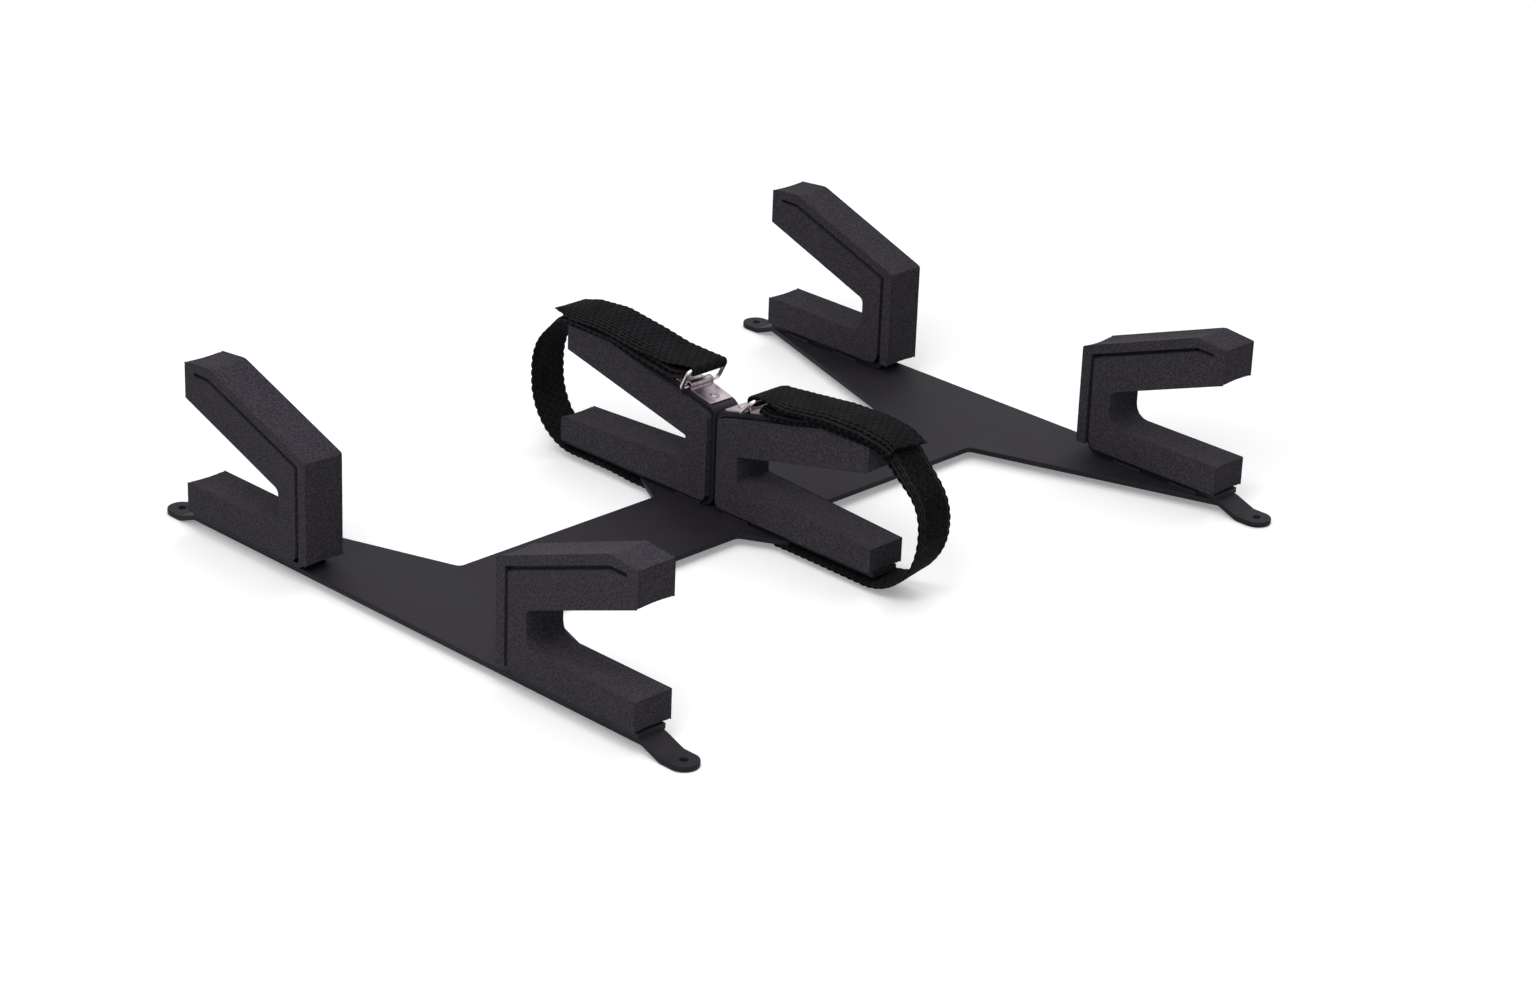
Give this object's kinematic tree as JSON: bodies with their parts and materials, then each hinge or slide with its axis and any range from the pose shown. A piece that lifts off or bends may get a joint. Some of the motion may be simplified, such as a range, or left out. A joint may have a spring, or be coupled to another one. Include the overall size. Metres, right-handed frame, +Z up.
{
  "type": "kayak rack",
  "caption": "H-shaped steel plate with foam-padded brackets that open outwards on both sides; webbing straps with wire rings close the two middle ones.",
  "frame": {"origin": "middle of the rack on the floor, under the centre of the plate", "axes": "+X along the plate's spine from the left crossbar to the right one, +Y across it to the back, +Z up"},
  "size_m": [0.724, 0.635, 0.1553],
  "materials": {
    "plate_paint": "satin dark grey powder coat",
    "bar_paint": "satin black powder coat",
    "foam": "closed-cell foam, matt charcoal",
    "webbing": "woven black webbing",
    "ring_nickel": "nickel-plated wire",
    "saddle_steel": "plain zinc-plated sheet",
    "rivet_steel": "plain zinc-plated"
  },
  "bodies": {
    "rack": {"base_plate": "plate_paint", "bar_left_back": "bar_paint", "foam_left_back": "foam", "bar_left_front": "bar_paint", "foam_left_front": "foam", "bar_right_back": "bar_paint", "foam_right_back": "foam", "bar_right_front": "bar_paint", "foam_right_front": "foam", "bar_middle_back": "bar_paint", "foam_middle_back": "foam", "bar_middle_front": "bar_paint", "foam_middle_front": "foam", "strap_back": "webbing", "saddle_back": "saddle_steel", "strap_front": "webbing", "saddle_front": "saddle_steel", "weld_beads": "plate_paint", "strap_rivets": "rivet_steel", "saddle_rivets": "rivet_steel"},
    "ring_back": {"ring_back": "ring_nickel"},
    "ring_front": {"ring_front": "ring_nickel"},
    "strap_end_back": {"strap_end_back": "webbing"},
    "strap_end_front": {"strap_end_front": "webbing"}
  },
  "joints": [
    {"name": "ring_back_swing", "type": "hinge", "parent": "rack", "child": "ring_back", "pos_m": [0, 0.03546, 0.11283], "axis": [1, 0, 0], "range_deg": [0, 30]},
    {"name": "ring_front_swing", "type": "hinge", "parent": "rack", "child": "ring_front", "pos_m": [0, -0.03546, 0.11283], "axis": [-1, 0, 0], "range_deg": [0, 40]},
    {"name": "strap_end_back_peel", "type": "hinge", "parent": "ring_back", "child": "strap_end_back", "pos_m": [0, 0.02616, 0.13109], "axis": [1, 0, 0], "range_deg": [0, 60]},
    {"name": "strap_end_front_peel", "type": "hinge", "parent": "ring_front", "child": "strap_end_front", "pos_m": [0, -0.04996, 0.12732], "axis": [-1, 0, 0], "range_deg": [0, 50]}
  ]
}
